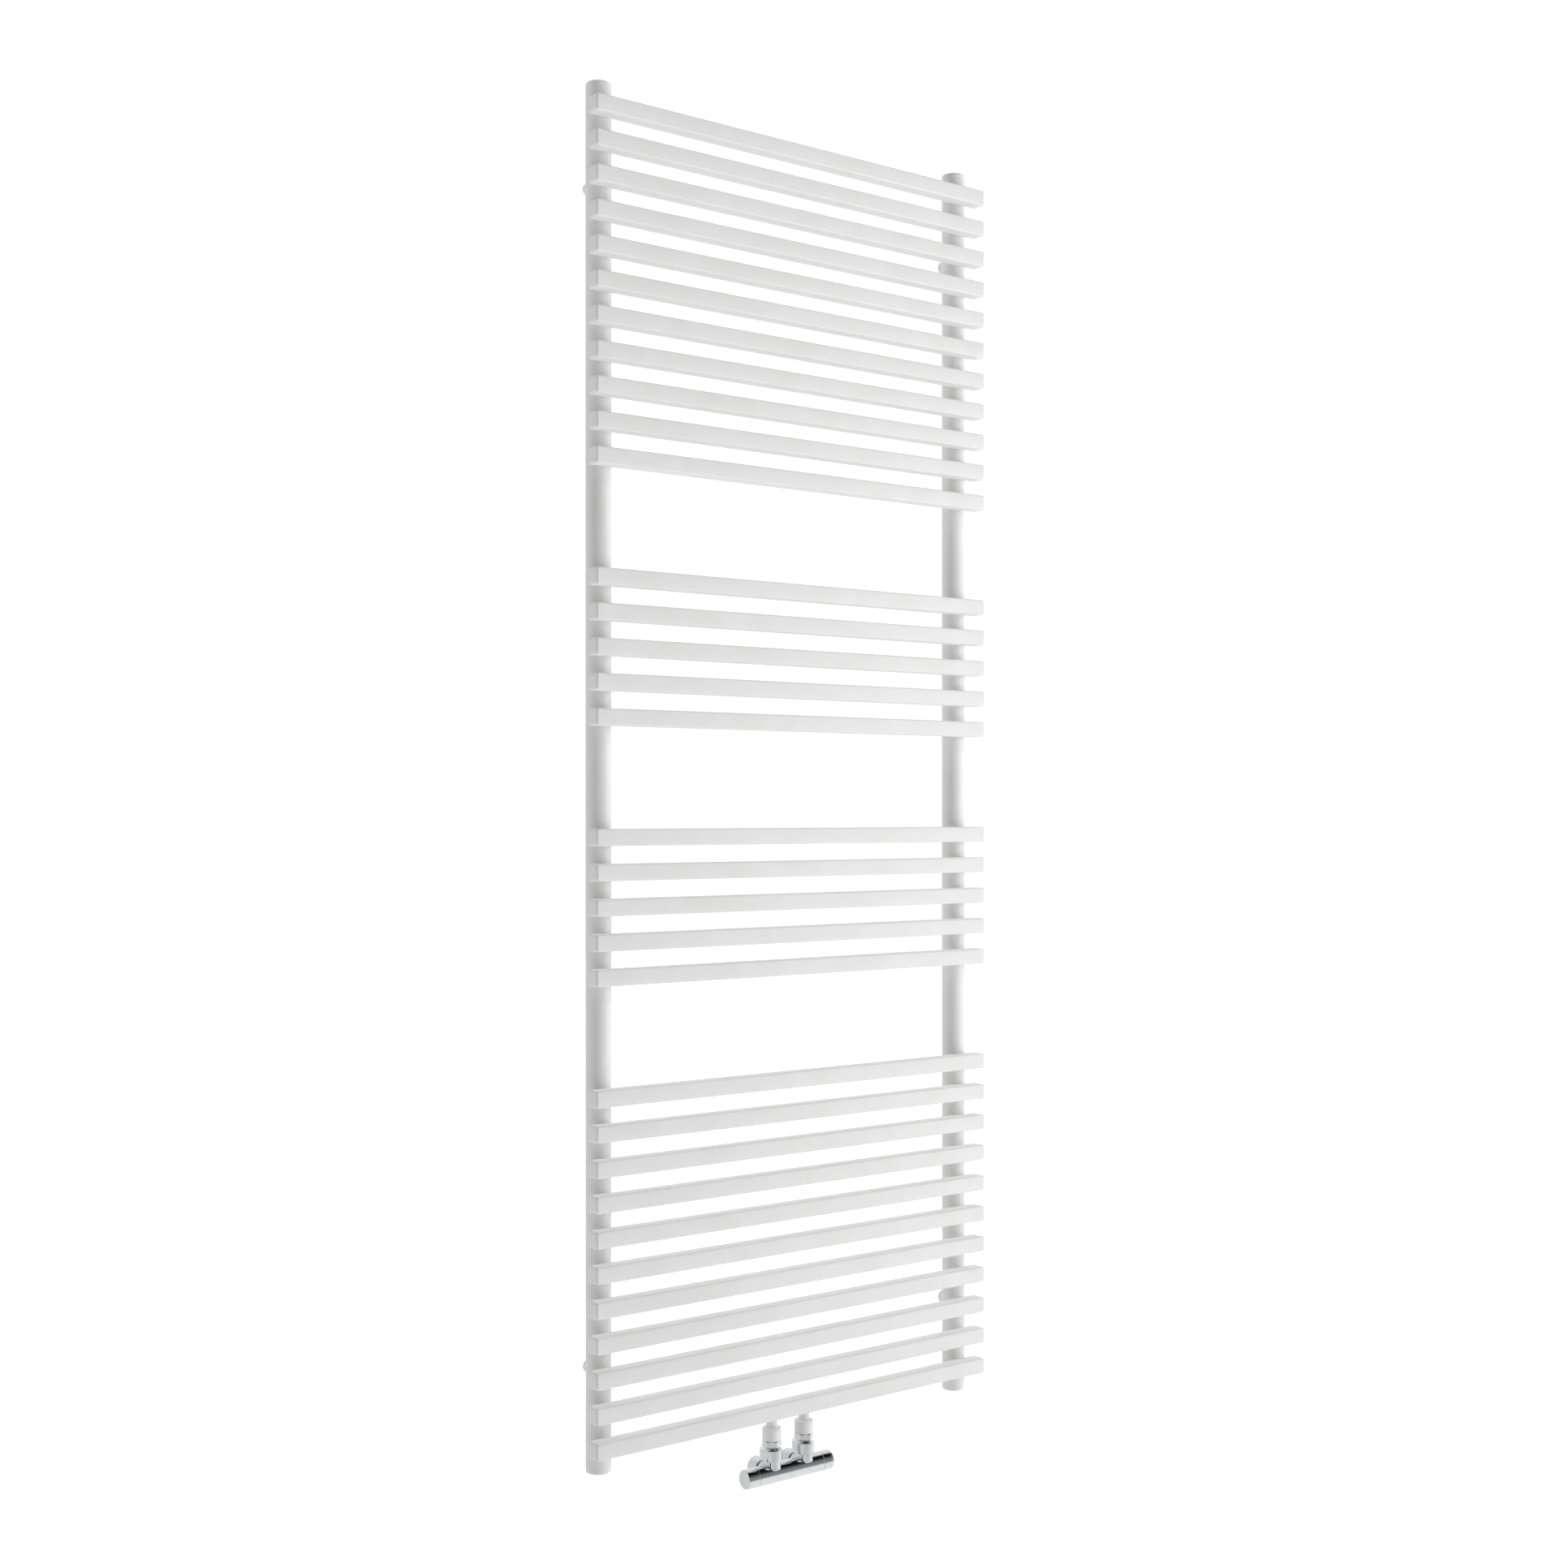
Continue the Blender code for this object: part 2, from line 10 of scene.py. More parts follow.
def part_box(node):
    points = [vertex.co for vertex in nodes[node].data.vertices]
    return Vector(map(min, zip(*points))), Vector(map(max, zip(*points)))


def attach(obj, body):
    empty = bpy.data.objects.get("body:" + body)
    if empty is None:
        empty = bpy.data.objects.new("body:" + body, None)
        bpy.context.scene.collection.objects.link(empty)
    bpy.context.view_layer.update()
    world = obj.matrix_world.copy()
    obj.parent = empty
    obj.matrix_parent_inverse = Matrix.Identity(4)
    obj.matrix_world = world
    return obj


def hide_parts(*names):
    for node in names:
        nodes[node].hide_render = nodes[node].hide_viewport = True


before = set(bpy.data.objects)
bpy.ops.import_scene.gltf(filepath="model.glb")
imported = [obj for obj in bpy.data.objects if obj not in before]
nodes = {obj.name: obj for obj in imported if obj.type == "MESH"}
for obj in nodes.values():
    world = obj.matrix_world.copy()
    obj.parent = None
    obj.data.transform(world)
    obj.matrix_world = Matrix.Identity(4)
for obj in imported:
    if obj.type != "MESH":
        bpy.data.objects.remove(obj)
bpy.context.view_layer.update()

RADIATOR = "radiator"
SIDES = ((-1, "left"), (1, "right"))

# ---------------------------------------------------------------- sizes, mostly read from the frame
bar_low, bar_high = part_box("bar_01")
BAR_HALF_LENGTH = (bar_high.x - bar_low.x) / 2
BAR_HALF = (bar_high.z - bar_low.z) / 2
BAR_Y = (bar_high.y + bar_low.y) / 2
BAR_CORNER = 0.0018
BAR_END_CORNER = 0.0009
BAR_END_ROUNDING = 0.0030
BAR_UPRIGHT_ROUNDING = 0.0021
BAR_NAMES = sorted(name for name in nodes if name.startswith("bar_"))
BAR_HEIGHTS = {name: (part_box(name)[0].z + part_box(name)[1].z) / 2 for name in BAR_NAMES}

tube_low, tube_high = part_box("collector_right")
COLLECTOR_X = (tube_low.x + tube_high.x) / 2
COLLECTOR_RADIUS = (tube_high.x - tube_low.x) / 2
COLLECTOR_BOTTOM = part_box("collector_cap_bottom_right")[0].z
COLLECTOR_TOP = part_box("collector_cap_top_right")[1].z
CAP_ROUNDING = 0.0030
BOSS_BORE = 0.0034

knob_low, knob_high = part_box("flow_knob")
VALVE_RADIUS = (knob_high.z - knob_low.z) / 2
AXIS_Z = (knob_high.z + knob_low.z) / 2
FLOW_KNOB_END = -knob_low.x
LOCKSHIELD_KNOB_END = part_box("lockshield_knob")[1].x
KNOB_ROUNDING = 0.0016
KNOB_NEAR = -knob_high.x
KNOB_FACE = 0.0050
KNOB_BORE = 0.0095

nut_low, nut_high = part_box("union_nut_right")
CONNECTION_X = (nut_low.x + nut_high.x) / 2
NUT_BOTTOM = nut_low.z
NUT_TOP = nut_high.z
NUT_FLATS = 0.0215
NUT_TURNS = {"left": math.radians(-97.65), "right": math.radians(-85.0)}
NUT_BORE = 0.0076
NUT_THREAD_RADIUS = 0.0088
NUT_THREAD_DEPTH = 0.0034
NUT_CELL = 0.00032
socket_low, socket_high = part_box("connection_socket_right")
SOCKET_BOTTOM = socket_low.z
SOCKET_TOP = socket_high.z
SOCKET_RADIUS = (socket_high.x - socket_low.x) / 2
SOCKET_THREAD_CREST = 0.0082
SOCKET_THREAD_ROOT = 0.0087
SOCKET_THREAD_PITCH = 0.0010
SOCKET_BORE = 0.0060
pipe_low, pipe_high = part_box("pipe_nut_right")
PIPE_NUT_FRONT = pipe_low.y
PIPE_NUT_END = pipe_high.y
PIPE_NUT_RADIUS = (pipe_high.z - pipe_low.z) / 2
PIPE_BORE = 0.0078
BRANCH_Z = (pipe_high.z + pipe_low.z) / 2
FEED_RADIUS = 0.0070
FEED_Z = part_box("feed_tube_right")[1].z - FEED_RADIUS
FEED_BEND = 0.0150
STUB_WELD_WIDTH = 0.0016

body_low, body_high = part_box("valve_body")
BODY_END = body_high.x
NECK_TOP = body_high.z - AXIS_Z
BRANCH_END = body_high.y
BODY_CELL = 0.00042
# Heights in the valve body are measured from the barrel's axis, as NECK_TOP is.
BLOCK_FRONT = -0.0016
BLOCK_REAR = 0.0045
BLOCK_RADIUS = 0.0123
BLOCK_BOTTOM = 0.010
BLOCK_TOP = 0.0307
STEP_Z = 0.0170
TONGUE_FRONT = -0.0042
TONGUE_RADIUS = 0.00825
TONGUE_BOTTOM = 0.0060
TONGUE_TOP = 0.0190
TONGUE_ROUNDING = 0.0050
SHOULDER_BOTTOM = 0.020
SHOULDER_RADIUS = 0.0120
SHOULDER_TAPER = 0.0026
SHOULDER_SLANT = 0.68
BRANCH_FRONT = 0.005
BRANCH_RADIUS = 0.0108
WATERWAY_RADIUS = 0.0055
SEAT_RADIUS = 0.0076
CHAMBER_RADIUS = 0.0090

# ---------------------------------------------------------------- mesh helpers
SHARP_ANGLE = 32.0
ROUND_SIDES = 96
ON_AXIS = 1e-7
# The chrome in the photo mirrors none of these, so its reflections leave them out.
NOT_MIRRORED = ("enamel_bar", "feed", "collector", "bar_welds")


def link(name, mesh, material, body=RADIATOR, replaces=()):
    """Puts a finished mesh in the scene and says what it rides on and stands for."""
    made = bpy.data.objects.new(name, mesh)
    bpy.context.scene.collection.objects.link(made)
    mesh.materials.append(material)
    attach(made, body)
    if replaces:
        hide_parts(*replaces)
    if name.startswith(NOT_MIRRORED):
        made.visible_glossy = False


def to_mesh(name, body, angle=SHARP_ANGLE):
    """Makes a mesh of a bmesh, smooth except over edges sharper than this many degrees."""
    bmesh.ops.recalc_face_normals(body, faces=body.faces)
    mesh = bpy.data.meshes.new(name)
    body.to_mesh(mesh)
    body.free()
    mesh.shade_smooth()
    mesh.set_sharp_from_angle(angle=math.radians(angle))
    return mesh


def axis_matrix(axis, origin):
    """Turns Z onto an axis, then moves to an origin."""
    turn = Vector((0.0, 0.0, 1.0)).rotation_difference(Vector(axis))
    return Matrix.Translation(Vector(origin)) @ turn.to_matrix().to_4x4()


def rounded(outline, radii, steps=5):
    """Replaces the corners of an open (radius, height) outline by arcs; a corner of radius 0 stays sharp."""
    points = []
    for index, (here, radius) in enumerate(zip(outline, radii)):
        if radius <= 0.0:
            points.append(here)
            continue
        here = Vector(here)
        before = (Vector(outline[index - 1]) - here).normalized()
        after = (Vector(outline[index + 1]) - here).normalized()
        half = before.angle(after) / 2
        reach = radius / math.tan(half)
        centre = here + (before + after).normalized() * (radius / math.sin(half))
        start = here + before * reach - centre
        end = here + after * reach - centre
        turn = math.acos(max(-1.0, min(1.0, start.dot(end) / radius ** 2)))
        for step in range(steps + 1):
            share = step / steps
            spot = (start * math.sin((1 - share) * turn) + end * math.sin(share * turn)) / math.sin(turn)
            points.append(tuple(centre + spot))
    return points


def closed_outline(outline):
    return outline + [outline[0]]


def lathe(name, outline, axis, origin, sides=ROUND_SIDES, angle=SHARP_ANGLE):
    """Turns (radius, height) points about an axis."""
    body = bmesh.new()
    rings = []
    for radius, height in outline:
        if radius < ON_AXIS:
            rings.append([body.verts.new((0.0, 0.0, height))])
            continue
        ring = []
        for step in range(sides):
            turn = 2.0 * math.pi * step / sides
            ring.append(body.verts.new((radius * math.cos(turn), radius * math.sin(turn), height)))
        rings.append(ring)
    for low, high in zip(rings, rings[1:]):
        for step in range(sides):
            after = (step + 1) % sides
            corners = (low[step % len(low)], low[after % len(low)],
                       high[after % len(high)], high[step % len(high)])
            corners = list(dict.fromkeys(corners))
            if len(corners) > 2:
                body.faces.new(corners)
    body.transform(axis_matrix(axis, origin))
    return to_mesh(name, body, angle)


def weld_rings(body, rings, caps=True):
    """Joins rings of equal length into a skin, with a face over each end."""
    for low, high in zip(rings, rings[1:]):
        for step in range(len(low)):
            after = (step + 1) % len(low)
            body.faces.new((low[step], low[after], high[after], high[step]))
    if caps:
        body.faces.new(list(reversed(rings[0])))
        body.faces.new(rings[-1])


# ---------------------------------------------------------------- distance fields
def length(*parts):
    return np.sqrt(sum(part * part for part in parts))


def round_edge(side, end, edge):
    """A solid with a rounded edge, from the distances past its side and its end, each drawn in by the radius."""
    outside = length(np.maximum(side, 0.0), np.maximum(end, 0.0))
    return outside + np.minimum(np.maximum(side, end), 0.0) - edge


def cylinder_field(across, along, radius, half, edge):
    """A cylinder that reaches half its length to each side of along = 0."""
    return round_edge(across - (radius - edge), np.abs(along) - (half - edge), edge)


def slab_field(plan, z, bottom, top, edge):
    """An upright prism from a plan's own distance field."""
    middle, half = (top + bottom) / 2, (top - bottom) / 2
    return round_edge(plan + edge, np.abs(z - middle) - (half - edge), edge)


def stadium_field(x, y, front, rear, radius):
    """Distance in plan to a round-ended outline that runs front to back."""
    return length(x, y - np.clip(y, front, rear)) - radius


def blend_union(one, other, fillet):
    share = np.maximum(fillet - np.abs(one - other), 0.0) / fillet
    return np.minimum(one, other) - share * share * fillet / 4.0


def blend_meet(one, other, fillet):
    """What is inside both."""
    return -blend_union(-one, -other, fillet)


def blend_cut(one, other, fillet):
    """What is inside the first and outside the second."""
    return -blend_union(-one, other, fillet)


# ---------------------------------------------------------------- meshes from distance fields
SLOPE_STEP = 0.05
PULLS = 4
LONGEST_PULL = 0.5
LEAST_SLOPE_SQUARED = 0.25
FIELD_MARGIN = 0.0008
BODY_MARGIN = 0.0012


def cut(axis, start, stop):
    """Picks from a grid, cut on one axis only."""
    pick = [slice(None)] * 3
    pick[axis] = slice(start, stop)
    return tuple(pick)


def crossed_cells(grid, values, cell):
    """A point for each cell that the surface passes through, the cells' point numbers, and the crossed edges."""
    inside = values < 0.0
    cells = [n - 1 for n in values.shape]
    total = np.zeros(cells + [3])
    hits = np.zeros(cells)
    edges = []
    for axis in range(3):
        first, second = cut(axis, 0, -1), cut(axis, 1, None)
        a, b = values[first], values[second]
        cross = inside[first] != inside[second]
        share = np.where(cross, a / np.where(cross, a - b, 1.0), 0.0)
        spot = grid[first].copy()
        spot[..., axis] += share * cell
        edges.append((cross, inside[first]))
        u, v = (axis + 1) % 3, (axis + 2) % 3
        for du, dv in ((0, 0), (0, 1), (1, 0), (1, 1)):
            pick = [slice(None)] * 3
            pick[u] = slice(du, du + cells[u])
            pick[v] = slice(dv, dv + cells[v])
            mask = cross[tuple(pick)]
            total += np.where(mask[..., None], spot[tuple(pick)], 0.0)
            hits += mask
    used = hits > 0
    index = np.full(cells, -1)
    index[used] = np.arange(int(used.sum()))
    return total[used] / hits[used][:, None], index, edges


def edge_quads(index, edges, counts):
    """A quad round each crossed edge, through the four cells that share it, facing outward."""
    quads = []
    for axis, (cross, starts_inside) in enumerate(edges):
        u, v = (axis + 1) % 3, (axis + 2) % 3
        spots = np.argwhere(cross)
        inner = (spots[:, u] > 0) & (spots[:, v] > 0)
        inner &= (spots[:, u] < counts[u] - 1) & (spots[:, v] < counts[v] - 1)
        spots = spots[inner]
        corners = []
        for du, dv in ((-1, -1), (0, -1), (0, 0), (-1, 0)):
            at = spots.copy()
            at[:, u] += du
            at[:, v] += dv
            corners.append(index[at[:, 0], at[:, 1], at[:, 2]])
        found = np.stack(corners, 1)
        outward = starts_inside[spots[:, 0], spots[:, 1], spots[:, 2]]
        found[~outward] = found[~outward][:, ::-1]
        quads.append(found)
    return np.concatenate(quads)


def slope_at(field, spots, step):
    """The field's gradient at some points."""
    found = []
    for axis in range(3):
        ahead, behind = spots.copy(), spots.copy()
        ahead[:, axis] += step
        behind[:, axis] -= step
        found.append((field(*ahead.T) - field(*behind.T)) / (2.0 * step))
    return np.stack(found, 1)


def field_mesh(name, field, low, high, cell):
    """Meshes the zero surface of a distance field with quads, then pulls each point onto it."""
    counts = [int(math.ceil((b - a) / cell)) + 1 for a, b in zip(low, high)]
    axes = [a + cell * np.arange(n) for a, n in zip(low, counts)]
    grid = np.stack(np.meshgrid(*axes, indexing="ij"), -1)
    values = field(grid[..., 0], grid[..., 1], grid[..., 2])
    points, index, edges = crossed_cells(grid, values, cell)
    quads = edge_quads(index, edges, counts)
    for _ in range(PULLS):
        slope = slope_at(field, points, SLOPE_STEP * cell)
        size = np.maximum((slope * slope).sum(1), LEAST_SLOPE_SQUARED)
        move = slope * (field(*points.T) / size)[:, None]
        reach = np.maximum(np.sqrt((move * move).sum(1)) / (LONGEST_PULL * cell), 1.0)
        points -= move / reach[:, None]
    mesh = bpy.data.meshes.new(name)
    mesh.from_pydata(points.tolist(), [], quads.tolist())
    mesh.shade_smooth()
    normals = slope_at(field, points, SLOPE_STEP * cell)
    normals /= np.maximum(length(*normals.T), 1e-9)[:, None]
    mesh.normals_split_custom_set_from_vertices(normals.tolist())
    return mesh


# ---------------------------------------------------------------- shader helpers
def new_material(name, slot, metallic, coat=None):
    made = bpy.data.materials.new(name)
    made.use_nodes = True
    made["slot"] = slot
    shader = made.node_tree.nodes["Principled BSDF"]
    shader.inputs["Metallic"].default_value = metallic
    if coat:
        shader.inputs["Coat Weight"].default_value = coat[0]
        shader.inputs["Coat Roughness"].default_value = coat[1]
    return made, shader


def add(tree, kind, **values):
    """Adds a node; each value goes to the input of that name, or else to the node's own setting."""
    node = tree.nodes.new(kind)
    for name, value in values.items():
        if name in node.inputs:
            node.inputs[name].default_value = value
        else:
            setattr(node, name, value)
    return node


def noise(tree, coords, scale, detail, roughness=0.5, stretch=None):
    node = add(tree, "ShaderNodeTexNoise", Scale=scale, Detail=detail, Roughness=roughness)
    if stretch:
        mapping = add(tree, "ShaderNodeMapping")
        mapping.inputs["Scale"].default_value = stretch
        tree.links.new(coords, mapping.inputs["Vector"])
        coords = mapping.outputs["Vector"]
    tree.links.new(coords, node.inputs["Vector"])
    return node.outputs["Fac"]


def remap(tree, source, span, to):
    """Maps one range of values onto another, and holds it there."""
    node = add(tree, "ShaderNodeMapRange")
    node.inputs["From Min"].default_value, node.inputs["From Max"].default_value = span
    node.inputs["To Min"].default_value, node.inputs["To Max"].default_value = to
    tree.links.new(source, node.inputs["Value"])
    return node.outputs["Result"]


def ramp(tree, source, stops):
    node = add(tree, "ShaderNodeValToRGB")
    elements = node.color_ramp.elements
    for index, (place, colour) in enumerate(stops):
        element = elements[index] if index < 2 else elements.new(place)
        element.position = place
        element.color = (*colour, 1.0)
    tree.links.new(source, node.inputs["Fac"])
    return node.outputs["Color"]


def bump(tree, height, strength, distance, under=None):
    node = add(tree, "ShaderNodeBump", Strength=strength, Distance=distance)
    tree.links.new(height, node.inputs["Height"])
    if under:
        tree.links.new(under, node.inputs["Normal"])
    return node.outputs["Normal"]


def math_node(tree, operation, first, second):
    """A sum on two values, each a number or a socket."""
    node = add(tree, "ShaderNodeMath", operation=operation)
    for socket, value in zip(node.inputs, (first, second)):
        if isinstance(value, float):
            socket.default_value = value
        else:
            tree.links.new(value, socket)
    return node.outputs[0]


def mix_values(tree, factor, first, second):
    """The first value where the factor is 0 and the second where it is 1, each a number or a socket."""
    node = add(tree, "ShaderNodeMix", data_type="FLOAT")
    tree.links.new(factor, node.inputs["Factor"])
    for socket, value in zip((node.inputs["A"], node.inputs["B"]), (first, second)):
        if isinstance(value, float):
            socket.default_value = value
        else:
            tree.links.new(value, socket)
    return node.outputs["Result"]


# ---------------------------------------------------------------- materials
def finish_material(made, shader, tone, gloss, normal):
    tree = made.node_tree
    tree.links.new(tone, shader.inputs["Base Color"])
    tree.links.new(gloss, shader.inputs["Roughness"])
    tree.links.new(normal, shader.inputs["Normal"])
    return made


def enamel_material():
    """Baked white enamel over steel tube: a faint orange peel, and slow changes of tone and gloss."""
    made, shader = new_material("enamel_baked_white", "white_enamel", 0.0, coat=(0.35, 0.10))
    tree = made.node_tree
    coords = add(tree, "ShaderNodeTexCoord").outputs["Object"]
    clouds = noise(tree, coords, scale=22.0, detail=3.0)
    tone = ramp(tree, clouds, ((0.32, (0.83, 0.83, 0.825)), (0.68, (0.865, 0.865, 0.863))))
    gloss = remap(tree, noise(tree, coords, scale=70.0, detail=3.0), span=(0.3, 0.7), to=(0.30, 0.40))
    waves = bump(tree, noise(tree, coords, scale=45.0, detail=1.0), strength=0.10, distance=0.0004)
    peel = bump(tree, noise(tree, coords, scale=900.0, detail=2.0), strength=0.10, distance=0.00012, under=waves)
    return finish_material(made, shader, tone, gloss, peel)


def chrome_material():
    """Polished chrome plate: faint smears, hairline scratches and a slow wave from the casting."""
    made, shader = new_material("chrome_polished", "chrome", 1.0)
    tree = made.node_tree
    coords = add(tree, "ShaderNodeTexCoord").outputs["Object"]
    clouds = noise(tree, coords, scale=90.0, detail=3.0)
    tone = ramp(tree, clouds, ((0.35, (0.77, 0.78, 0.79)), (0.65, (0.83, 0.835, 0.84))))
    smears = noise(tree, coords, scale=140.0, detail=4.0, roughness=0.6)
    gloss = remap(tree, smears, span=(0.35, 0.70), to=(0.045, 0.13))
    waves = bump(tree, noise(tree, coords, scale=120.0, detail=1.0), strength=0.05, distance=0.0003)
    hairs = noise(tree, coords, scale=1.0, detail=2.0, stretch=(260.0, 5200.0, 5200.0))
    scratched = bump(tree, hairs, strength=0.03, distance=0.00003, under=waves)
    return finish_material(made, shader, tone, gloss, scratched)


def turned_metal(name, metal, stretch):
    """Metal turned on a lathe: fine rings along its axis, and a dull bloom between them."""
    slot, dark, light, rough = metal
    made, shader = new_material(name, slot, 1.0)
    tree = made.node_tree
    coords = add(tree, "ShaderNodeTexCoord").outputs["Object"]
    tone = ramp(tree, noise(tree, coords, scale=260.0, detail=4.0), ((0.35, dark), (0.70, light)))
    gloss = remap(tree, noise(tree, coords, scale=420.0, detail=3.0), span=(0.3, 0.7), to=rough)
    rings = noise(tree, coords, scale=1.0, detail=2.0, stretch=stretch)
    return finish_material(made, shader, tone, gloss, bump(tree, rings, strength=0.25, distance=0.00006))


# Each metal is its slot, its dark and light tones, and its range of roughness.
BRASS = ("brass", (0.62, 0.42, 0.17), (0.82, 0.62, 0.30), (0.22, 0.38))
STEEL = ("stainless_steel", (0.50, 0.50, 0.50), (0.64, 0.64, 0.63), (0.18, 0.32))
ROUND_THE_RING = 60.0
ACROSS_THE_RINGS = 4200.0
TURNED_ON_X = (ACROSS_THE_RINGS, ROUND_THE_RING, ROUND_THE_RING)
TURNED_ON_Y = (ROUND_THE_RING, ACROSS_THE_RINGS, ROUND_THE_RING)
TURNED_ON_Z = (ROUND_THE_RING, ROUND_THE_RING, ACROSS_THE_RINGS)

ENAMEL = enamel_material()
CHROME = chrome_material()
BRASS_UPRIGHT = turned_metal("brass_turned_upright", BRASS, TURNED_ON_Z)
BRASS_LEVEL = turned_metal("brass_turned_level", BRASS, TURNED_ON_X)
STEEL_LEVEL = turned_metal("steel_turned_level", STEEL, TURNED_ON_X)
STEEL_VENT = turned_metal("steel_turned_vent", STEEL, TURNED_ON_Y)


# ---------------------------------------------------------------- bars
BAR_END_STEPS = 12
BAR_MIDDLE_PARTS = 20
BAR_CORNER_FADE = 0.35


def square_ring(deep, high, corner, steps=5):
    """A rectangle with round corners in (y, z), given by its half sizes."""
    points = []
    for quarter, (cy, cz) in enumerate(((1, 1), (-1, 1), (-1, -1), (1, -1))):
        for step in range(steps + 1):
            angle = math.radians(90.0 * quarter + 90.0 * step / steps)
            points.append((cy * (deep - corner) + corner * math.cos(angle),
                           cz * (high - corner) + corner * math.sin(angle)))
    return points


def end_inset(x, radius):
    """How far a rounded edge lies inside the straight side, at this distance from the end."""
    return radius - math.sqrt(max(radius ** 2 - max(radius - x, 0.0) ** 2, 0.0))


def bar_mesh(name, height):
    """A square bar with soft corners, a flat end and rounded end edges."""
    body = bmesh.new()
    left = []
    for step in range(BAR_END_STEPS + 1):
        x = BAR_END_ROUNDING * (1.0 - math.cos(math.radians(90.0 * step / BAR_END_STEPS)))
        left.append((x, end_inset(x, BAR_UPRIGHT_ROUNDING), end_inset(x, BAR_END_ROUNDING)))
    full = 2.0 * BAR_HALF_LENGTH
    middle = [(full * part / BAR_MIDDLE_PARTS, 0.0, 0.0) for part in range(1, BAR_MIDDLE_PARTS)]
    right = [(full - x, deep, high) for x, deep, high in reversed(left)]
    rings = []
    for x, deep, high in left + middle + right:
        corner = max(BAR_CORNER - BAR_CORNER_FADE * high, BAR_END_CORNER)
        rings.append([body.verts.new((x - BAR_HALF_LENGTH, BAR_Y + y, height + z))
                      for y, z in square_ring(BAR_HALF - deep, BAR_HALF - high, corner)])
    weld_rings(body, rings)
    return to_mesh(name, body, angle=40.0)


for bar_name in BAR_NAMES:
    mesh = bar_mesh("enamel_" + bar_name, BAR_HEIGHTS[bar_name])
    link("enamel_" + bar_name, mesh, ENAMEL, replaces=(bar_name,))


# ---------------------------------------------------------------- welds between bars and collectors
WELD_STEPS = 12
WELD_REACH = 0.0062
WELD_END_GAP = 0.0012
WELD_SINK = 0.0004
WELD_HOLLOW = 0.0001
WELD_RIPPLE = 0.0002
WELD_RIPPLE_WAVES = 31.0
WELD_RIPPLE_SHIFT = 2.1


def weld_section(wide, rear):
    """A weld's outline in (x, y): a hollow face in the wedge, and a back sunk into bar and collector."""
    skin_y = WELD_SINK - math.sqrt(COLLECTOR_RADIUS ** 2 - wide ** 2)
    face, skin = (wide, rear - WELD_SINK), (wide, skin_y)
    belly = (wide * 0.90, (face[1] + skin[1]) / 2)
    near_face, near_skin = (((end[0] * 3 + belly[0]) / 4 - WELD_HOLLOW, (end[1] * 3 + belly[1]) / 4)
                            for end in (face, skin))
    return face, near_face, belly, near_skin, skin, (wide * 0.35, rear + WELD_SINK / 2)


def bar_welds(side, name):
    """Weld fillets in the wedges between the flat rear of each bar and the round collector."""
    body = bmesh.new()
    for number, bar_name in enumerate(BAR_NAMES):
        for edge in (-1, 1):
            rings = []
            for step in range(WELD_STEPS + 1):
                along = -1.0 + 2.0 * step / WELD_STEPS
                ripple = WELD_RIPPLE * math.sin(WELD_RIPPLE_WAVES * along + WELD_RIPPLE_SHIFT * number + edge)
                wide = (WELD_REACH + ripple) * math.sqrt(max(1.0 - along ** 4, 0.02))
                z = BAR_HEIGHTS[bar_name] + along * (BAR_HALF - WELD_END_GAP)
                rings.append([body.verts.new((side * COLLECTOR_X + edge * x, y, z))
                              for x, y in weld_section(wide, BAR_Y + BAR_HALF)])
            weld_rings(body, rings)
    return to_mesh("bar_welds_" + name, body, angle=60.0)


# ---------------------------------------------------------------- collectors and bosses
SADDLE_STEPS = 6
SADDLE_SIDES = 64
SADDLE_SINK = 0.0003
SADDLE_RIPPLE = 0.00012
SADDLE_RIPPLE_WAVES = 17
SADDLE_REACH_SQUARED = 0.0002
BOSS_FOOT = 0.0118
BOSS_HOLE_END = 0.0170
BOSS_THREAD_PITCH = 0.0008
BOSS_THREAD_DEPTH = 0.0006


def collector_mesh(side, name):
    """A round tube with its end caps welded in flush and ground smooth, so that no seam shows."""
    outline = [(0.0, COLLECTOR_BOTTOM), (COLLECTOR_RADIUS, COLLECTOR_BOTTOM),
               (COLLECTOR_RADIUS, COLLECTOR_TOP), (0.0, COLLECTOR_TOP)]
    outline = rounded(outline, (0, CAP_ROUNDING, CAP_ROUNDING, 0), 8)
    return lathe("collector_skin_" + name, outline, (0, 0, 1), (side * COLLECTOR_X, 0.0, 0.0), angle=50.0)


